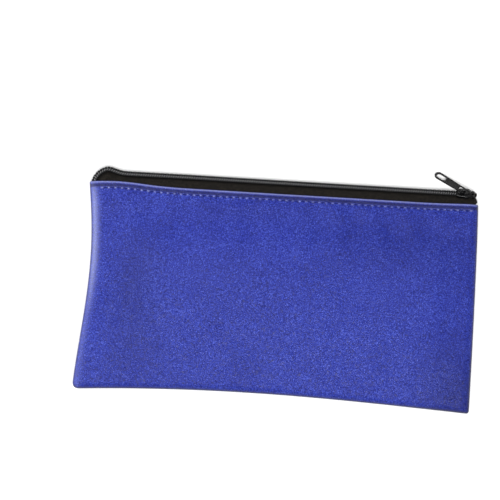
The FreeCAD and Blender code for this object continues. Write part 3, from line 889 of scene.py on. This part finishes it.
def tapePiece(name, side):
    # cross-sections from under the hem, round the fold, to the chain
    rows = []
    lengths = np.concatenate([np.arange(0.3, chainEnd - 4, 1.2),
                              np.arange(chainEnd - 4, chainLength, 0.45)])
    xs = np.interp(lengths, zipLengths, zipLine[:, 0])
    a = np.clip((xs - leftX(1.0)) / (rightX(1.0) - leftX(1.0)), 0.03, 0.97)
    grid, normal = (frontGrid, frontNormal) if side < 0 else (backGrid, backNormal)
    depth = 2 * bagShape["turn"] + 0.35
    for back in tapeShape["underHem"]:
        place, out = onPanel(grid, normal, a, np.full(len(a), 1 - back / height))
        rows.append(place - out * depth)
    gap = tapeShape["gap"] + partedBy(xs)
    flat = tapeShape["out"]
    if side < 0:
        for u, n in ((-6.8, flat - 0.25), (-4.6, flat), (-2.4, flat)):
            rows.append(zipPoint(lengths, np.full(len(a), u), np.full(len(a), n)))
        rows.append(zipPoint(lengths, -gap, np.full(len(a), flat)))
    else:
        for u, n in ((1.4, -2.4), (2.7, -1.6), (3.15, -0.95), (3.0, -0.4), (2.6, flat)):
            rows.append(zipPoint(lengths, np.full(len(a), u), np.full(len(a), n)))
        rows.append(zipPoint(lengths, gap, np.full(len(a), flat)))
    radius = tuck["front"] if side < 0 else tuck["back"]
    for index, row in enumerate(rows):
        bulge = tuck["bulge"] * math.sin(math.pi * (index + 1) / (len(rows) + 1))
        start = tuck["start"] + bulge - radius
        beyond = np.maximum(row[:, 0] - start, 0)
        angle = np.minimum(beyond / radius, math.pi)
        rolled = start + radius * np.sin(angle) - (beyond - angle * radius)
        row[:, 0] = np.where(beyond > 0, rolled, row[:, 0])
        row[:, 2] -= radius * (1 - np.cos(angle))
    points = np.concatenate(rows)
    faces = quadRows(len(rows), len(a), flip=side > 0)
    piece = meshPiece(name, points, faces, [tapeCloth])
    thicken(piece, tapeShape["thickness"], offset=0)
    return piece


frontTape, backTape = tapePiece("frontZipTape", -1), tapePiece("backZipTape", 1)
frontCoil, backCoil = coilPiece("frontZipCoil", -1), coilPiece("backZipCoil", 1)
frontCord, backCord = coilCord("frontCoilCord", -1), coilCord("backCoilCord", 1)
frontCoilThread, backCoilThread = coilStitches("frontCoilThread", -1), coilStitches("backCoilThread", 1)
stopShape = {
    "low": -0.9,
    "high": 2.1,
    "edge": 0.35,          # how much the ends are rounded
    "startAfterSlider": 0.6,
    "length": 1.9,
    "across": (0.7, 2.9),
}


def clampPiece(name, node, ends, across):
    # a metal clamp bent round the tape's edge: a block with rounded edges along the chain
    sections = []
    low, high, edge = stopShape["low"], stopShape["high"], stopShape["edge"]
    middle = sum(across) / 2
    for place, shrink in ((ends[0], edge), (ends[0] + 0.25, 0), (ends[1] - 0.25, 0), (ends[1], edge)):
        u0, u1, n0, n1 = across[0] + shrink, across[1] - shrink, low + shrink, high - shrink
        outline = np.array([(u0, n0), (middle, n0), (u1, n0), (u1, 0.5),
                            (u1, n1), (middle, n1 + 0.1), (u0, n1), (u0, 0.5)])
        sections.append(zipPoint(np.full(8, place), outline[:, 0], outline[:, 1]))
    faces = quadRows(4, 8, closed=True, flip=True) + [list(range(8)), list(range(24, 32))[::-1]]
    piece = meshPiece(name, np.concatenate(sections), faces, [enamel])
    rounder = piece.modifiers.new("round", "SUBSURF")
    rounder.levels = rounder.render_levels = 2
    applyAll(piece)
    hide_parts(node)
    return piece


bottomStop = clampPiece("bottomStop", "bottom_stop", (0.2, 2.0), (-2.4, 2.4))
beforeEnd = int(len(zipLine) * 0.97)
nose = float(np.interp(slider[1][0], zipLine[:beforeEnd, 0], zipLengths[:beforeEnd]))
topStart = nose + stopShape["startAfterSlider"]
topEnds = (topStart, topStart + stopShape["length"])
near, far = stopShape["across"]
frontTopStop = clampPiece("frontTopStop", "front_top_stop", topEnds, (-far, -near))
backTopStop = clampPiece("backTopStop", "back_top_stop", topEnds, (near, far))
print("zip made")
followMouth(frontTopStop)
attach(backTopStop, "bag")
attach(bottomStop, "bag")
for front, back, name, kind in ((frontTape, backTape, "zip_tape", "zip_tape"),
                                (frontCoil, backCoil, "zip_coil", "zip_coil"),
                                (frontCord, backCord, "coil_cord", "zip_cord"),
                                (frontCoilThread, backCoilThread, "coil_thread", "black_thread")):
    followMouth(front)
    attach(back, "bag")
    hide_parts("front_" + name)
    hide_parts("back_" + name)


# Stitching
stitchLook = {
    "radii": [0.18, 0.25, 0.28, 0.28, 0.28, 0.25, 0.18],
    "shares": [0.0, 0.06, 0.22, 0.5, 0.78, 0.94, 1.0],    # along each stitch
    "heights": [-0.5, -0.05, 0.1, 0.14, 0.1, -0.05, -0.5],
    "needleDepth": 0.05,
    "bobbinDepth": 2.35,   # on the inside, under two layers
    "seamInset": 3.2,
}


def stitchRow(name, places, normals):
    # one tube for each stitch, from one needle hole over the cloth to the next
    bundle = TubeBundle()
    lift = np.array(stitchLook["heights"])[:, None]
    t = np.array(stitchLook["shares"])[:, None]
    for i in range(len(places) - 1):
        run = places[i + 1] - places[i]
        skip = run * sewing["gap"] / stitchPitch
        p = (places[i] + skip) * (1 - t) + (places[i + 1] - skip) * t
        out = normals[i] * (1 - t) + normals[i + 1] * t
        bundle.add(p + out * lift, stitchLook["radii"], sides=6)
    return bundle.piece(name, blueThread)


def hemRow(name, grid, normal, depth, flip):
    a = np.arange(2, int(width / stitchPitch)) * stitchPitch / width
    places, out = onPanel(grid, normal, a, np.full(len(a), 1 - stitchInset / height))
    return stitchRow(name, places - out * depth, out * flip)


def seamRow(name, z, up, side):
    # along a turned allowance: side is left, bottom or right
    inset = stitchLook["seamInset"]
    if side == "bottom":
        a = np.arange(3, int(width / stitchPitch) - 2) * stitchPitch / width
        b = np.full(len(a), 0.0)
    else:
        b = np.arange(2, int(height / stitchPitch) - 2) * stitchPitch / height
        a = np.full(len(b), 0.0 if side == "left" else 1.0)
    x, y = planPoint(a, b)
    x = x + {"left": inset, "right": -inset, "bottom": 0}[side]
    y = y + (inset if side == "bottom" else 0)
    places = np.stack([x, y, np.full(len(x), z)], axis=-1)
    return stitchRow(name, places, np.tile([0, 0, float(up)], (len(x), 1)))


threads = {}
for face, grid, normal in (("front", frontGrid, frontNormal), ("back", backGrid, backNormal)):
    for kind, depth, flip in (("needle", stitchLook["needleDepth"], 1),
                              ("bobbin", stitchLook["bobbinDepth"], -1)):
        row = hemRow(face + "Hem" + kind.title() + "Thread", grid, normal, depth, flip)
        threads[face + "_hem_" + kind + "_thread"] = row
for side in ("left", "bottom", "right"):
    for kind, up in (("needle", 1), ("bobbin", -1)):
        row = seamRow(side + "Seam" + kind.title() + "Thread", seamZ + up * bagShape["sheet"], up, side)
        threads[side + "_seam_" + kind + "_thread"] = row
for node, piece in threads.items():
    if "needle" in node and "back" not in node or node.startswith("front"):
        followMouth(piece)
    else:
        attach(piece, "bag")
    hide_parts(node)
print("threads made")


# The slider and the pull, made in the zip's own directions: x along it, u across, n out of it
def zipFrame(points):
    x, u, n = np.asarray(points, float).T
    y = chainY + u * math.cos(zipTilt) + n * math.sin(zipTilt)
    return np.stack([x, y, chainZ - u * math.sin(zipTilt) + n * math.cos(zipTilt)], axis=-1)


sliderShape = {
    "halfWidths": [(-5.25, 2.95), (-5.05, 3.2), (-4.4, 3.35), (-2.0, 3.65), (0.2, 4.0), (1.8, 4.1),
                   (3.0, 3.9), (3.9, 3.45), (4.7, 2.75), (5.1, 2.3), (5.25, 1.95)],
    "wall": 0.45,
    "flange": 0.35,        # the side walls of the upper plate reach down to here
    "openFrom": 3.6,       # in front of this the side walls are cut away for the two halves of the chain
    "top": (1.96, 2.85),   # under and upper face of the upper plate
    "bottom": (-0.65, -1.45),
    "crown": [(-2.3, 0, 2.2), (-2.35, 0, 3.4), (-2.2, 0, 4.7), (-1.5, 0, 5.5), (-0.2, 0, 5.72), (1.2, 0, 5.6),
              (2.6, 0, 5.1), (3.7, 0, 4.2), (4.2, 0, 3.2), (4.3, 0, 2.2)],
    "crownHalf": (0.45, 0.8),
    "post": (3.45, 1.15, 0.8),    # middle, half length and half width of the post between the plates
}


def sliderPiece():
    points, faces = [], []
    wall, (under, top) = sliderShape["wall"], sliderShape["top"]
    low, floorN = sliderShape["bottom"]

    def addPart(rings, closeEnds):
        first = sum(len(p) for p in points)
        columns = len(rings[0])
        points.extend(rings)
        faces.extend(quadRows(len(rings), columns, first, closed=True))
        half = columns // 2
        for ring, flip in ((0, True), (len(rings) - 1, False)):
            start = first + ring * columns
            if closeEnds:
                faces.append([start + i for i in range(columns)][::1 if not flip else -1])
                continue
            for i in range(half - 1):
                face = [start + i, start + i + 1, start + columns - 2 - i, start + columns - 1 - i]
                faces.append(face[::-1] if flip else face)

    upper, lower = [], []
    for x, w in sliderShape["halfWidths"]:
        opened = float(smooth((x - sliderShape["openFrom"]) / 0.5))
        flange = mix(sliderShape["flange"], under - 0.05, opened)
        side = [(w, flange), (w, flange + 0.1), (w, mix(flange, top, 0.5)), (w, top - 0.5),
                (w - 0.15, top - 0.2), (w - 0.5, top - 0.02), (w * 0.6, top + 0.05), (w * 0.25, top + 0.08)]
        inner = [(w - wall, flange), (w - wall, flange + 0.1), (w - wall, mix(flange, under, 0.5)),
                 (w - wall, under - 0.3), (w - wall - 0.1, under - 0.05), (w - wall - 0.4, under),
                 (w * 0.5, under), (w * 0.2, under)]
        outer = side + [(-u, n) for u, n in reversed(side)]
        inside = inner + [(-u, n) for u, n in reversed(inner)]
        upper.append(np.array([(x, u, n) for u, n in outer + inside[::-1]]))
        plate = [(w, low - 0.15), (w, floorN + 0.3), (w - 0.12, floorN + 0.1), (w - 0.4, floorN),
                 (w * 0.5, floorN)]
        back = [(w - 0.08, low), (w - 0.4, low), (w * 0.5, low)]
        ring = [(-u, n) for u, n in reversed(back)] + [(-u, n) for u, n in plate]
        ring += [(u, n) for u, n in reversed(plate)] + back
        lower.append(np.array([(x, u, n) for u, n in ring]))
    addPart(upper, False)
    addPart(lower, True)
    middle, halfLong, halfWide = sliderShape["post"]
    turns = np.linspace(0, 2 * math.pi, 16, endpoint=False)
    addPart([np.stack([middle + halfLong * np.cos(turns), halfWide * np.sin(turns), np.full(16, n)], axis=-1)
             for n in (low - 0.1, low + 0.6, under - 0.6, under + 0.1)], True)
    crown, _ = smoothPath(sliderShape["crown"], 0.3)
    arch = TubeBundle()
    thick, wide = sliderShape["crownHalf"]
    arch.add(crown, thick, sides=16, flatten=wide / thick, up=np.array([0, 1.0, 0]))
    first = sum(len(p) for p in points)
    points.extend(arch.points)
    faces.extend([[first + i for i in face] for face in arch.faces])
    local = np.concatenate(points)
    local[:, 0] += sliderX
    piece = meshPiece("sliderBody", zipFrame(local), faces, [enamel])
    rounder = piece.modifiers.new("round", "SUBSURF")
    rounder.levels = rounder.render_levels = 2
    applyAll(piece)
    return piece


pullShape = {
    "pivot": (-0.4, 4.3),  # from the slider's middle, and out of the chain
    "length": 24.5,
    "narrow": 5.0,
    "wide": 6.2,
    "thick": 1.1,
    "edge": 0.26,          # rounding of every edge
    "slot": (0.6, 4.2, 3.8),
    "panel": (5.4, 14.0, 3.3),    # the recessed face between the slot and the eye
    "web": 0.6,            # thickness left there
    "eye": (15.6, 22.8, 3.7),
    "swivel": 35.6,        # degrees, away from the chain
    "raise": 1.6,
}


def roundedBox(x0, x1, w0, w1, radius):
    # outline of a long opening, w0 wide at x0 and w1 wide at x1
    outline = []
    for cx, cy, start in ((x1 - radius, w1 / 2 - radius, 0), (x0 + radius, w0 / 2 - radius, 90),
                          (x0 + radius, radius - w0 / 2, 180), (x1 - radius, radius - w1 / 2, 270)):
        turns = [math.radians(start + t) for t in range(0, 91, 10)]
        outline += [(cx + radius * math.cos(t), cy + radius * math.sin(t)) for t in turns]
    return outline


def pullPiece():
    shape = pullShape
    x0, x1, w = shape["slot"]
    wide, narrow = shape["wide"], shape["narrow"]
    end = shape["length"] - wide / 2
    outline = [(end + wide / 2 * math.cos(math.radians(t)), wide / 2 * math.sin(math.radians(t)))
               for t in range(-90, 91, 6)]
    outline += [(0.0, narrow / 2), (-0.4, narrow / 2 - 0.1), (-0.55, narrow / 2 - 0.4),
                (-0.55, 0.4 - narrow / 2), (-0.4, 0.1 - narrow / 2), (0.0, -narrow / 2)]
    p0, p1, pw = shape["panel"]
    e0, e1, ew = shape["eye"]
    curve = bpy.data.curves.new("pull", "CURVE")
    curve.dimensions, curve.fill_mode = "2D", "BOTH"
    curve.extrude = (shape["thick"] / 2 - shape["edge"]) * mm
    curve.bevel_depth, curve.bevel_resolution, curve.offset = shape["edge"] * mm, 3, -shape["edge"] * mm
    holes = [roundedBox(x0, x1, w, w, 0.5), roundedBox(p0, p1, pw, pw + 0.5, 0.8),
             roundedBox(e0, e1, ew, ew, ew / 2 - 0.01)]
    for points in [outline] + holes:
        spline = curve.splines.new("POLY")
        spline.points.add(len(points) - 1)
        for point, (x, y) in zip(spline.points, points):
            point.co = (x * mm, y * mm, 0, 1)
        spline.use_cyclic_u = True
    flat = bpy.data.objects.new("pullFlat", curve)
    scene.collection.objects.link(flat)
    mesh = bpy.data.meshes.new_from_object(flat.evaluated_get(bpy.context.evaluated_depsgraph_get()))
    points = [np.array(v.co) / mm for v in mesh.vertices]
    faces = [list(f.vertices) for f in mesh.polygons]
    bpy.data.objects.remove(flat)
    half = shape["web"] / 2
    first = len(points)
    for x, y in ((p0 - 0.4, -pw / 2 - 0.4), (p1 + 0.4, -pw / 2 - 0.6),
                 (p1 + 0.4, pw / 2 + 0.6), (p0 - 0.4, pw / 2 + 0.4)):
        points += [np.array((x, y, -half)), np.array((x, y, half))]
    webFaces = ((0, 6, 4, 2), (1, 3, 5, 7), (0, 2, 3, 1), (2, 4, 5, 3), (4, 6, 7, 5), (6, 0, 1, 7))
    faces += [[first + i for i in face] for face in webFaces]
    turned = Matrix.Rotation(math.radians(180 - shape["swivel"]), 4, "Z") @ \
        Matrix.Rotation(math.radians(-shape["raise"]), 4, "Y")
    away, out = shape["pivot"]
    local = [tuple(turned @ Vector(p) + Vector((sliderX + away, 0, out))) for p in points]
    piece = meshPiece("pullTab", zipFrame(local), faces, [enamel])
    piece.data.set_sharp_from_angle(angle=math.radians(35))
    return piece


sliderBody, pullTab = sliderPiece(), pullPiece()
for piece, node, body in ((sliderBody, "slider_body", "slider"), (pullTab, "pull_tab", "pull")):
    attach(piece, body)
    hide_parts(node)
print("slider and pull made")


# Floor, lights and camera. The lamps' places and sizes are in metres, their power in watts.
studio = {
    "floorReach": 4000,
    "floorZ": -0.2,        # just under the bag
    "sky": 0.42,
    "lamps": {
        "leftLight": {"place": (-1.0, 0.3, 0.26), "aim": (-0.1, 0, 0), "size": (0.6, 0.1), "power": 7},
        "farLight": {"place": (-0.2, 1.0, 0.3), "aim": (0, 0, 0), "size": (0.9, 0.1), "power": 2},
        "overhead": {"place": (0.04, -0.4, 1.45), "aim": (0, 0, 0), "size": (0.7, 0.6), "power": 22},
    },
}
reach, floorZ = studio["floorReach"], studio["floorZ"]
floorCorners = [(-reach, -reach, floorZ), (reach, -reach, floorZ),
                (reach, reach, floorZ), (-reach, reach, floorZ)]
floor = meshPiece("floor", np.array(floorCorners), [(0, 1, 2, 3)], [paleFloor()])
for name, lampShape in studio["lamps"].items():
    light = bpy.data.lights.new(name, "AREA")
    light.shape, light.energy = "RECTANGLE", lampShape["power"]
    light.size, light.size_y = lampShape["size"]
    lamp = bpy.data.objects.new(name, light)
    lamp.location = lampShape["place"]
    facing = Vector(lampShape["aim"]) - Vector(lampShape["place"])
    lamp.rotation_euler = facing.to_track_quat("-Z", "Y").to_euler()
    scene.collection.objects.link(lamp)
world = bpy.data.worlds.new("studio")
world.use_nodes = True
sky = world.node_tree.nodes["Background"].inputs
sky["Color"].default_value = grey(1.0)
sky["Strength"].default_value = studio["sky"]
scene.world = world
scene.view_settings.view_transform = "Standard"

view = {"aim": (-20.7, 27.1, 8.0), "distance": 1000.0, "elevation": 86.0, "roll": 3.4, "lens": 102.0}
camera = bpy.data.cameras.new("camera")
camera.lens, camera.sensor_width = view["lens"], 36.0
eye = bpy.data.objects.new("camera", camera)
lift = math.radians(view["elevation"])
aim = Vector(view["aim"]) * mm
eye.location = aim + Vector((0, -math.cos(lift), math.sin(lift))) * view["distance"] * mm
turn = (aim - eye.location).to_track_quat("-Z", "Y").to_matrix().to_4x4()
eye.rotation_euler = (turn @ Matrix.Rotation(math.radians(view["roll"]), 4, "Z")).to_euler()
scene.collection.objects.link(eye)
scene.camera = eye
print("floor, lights and camera made")
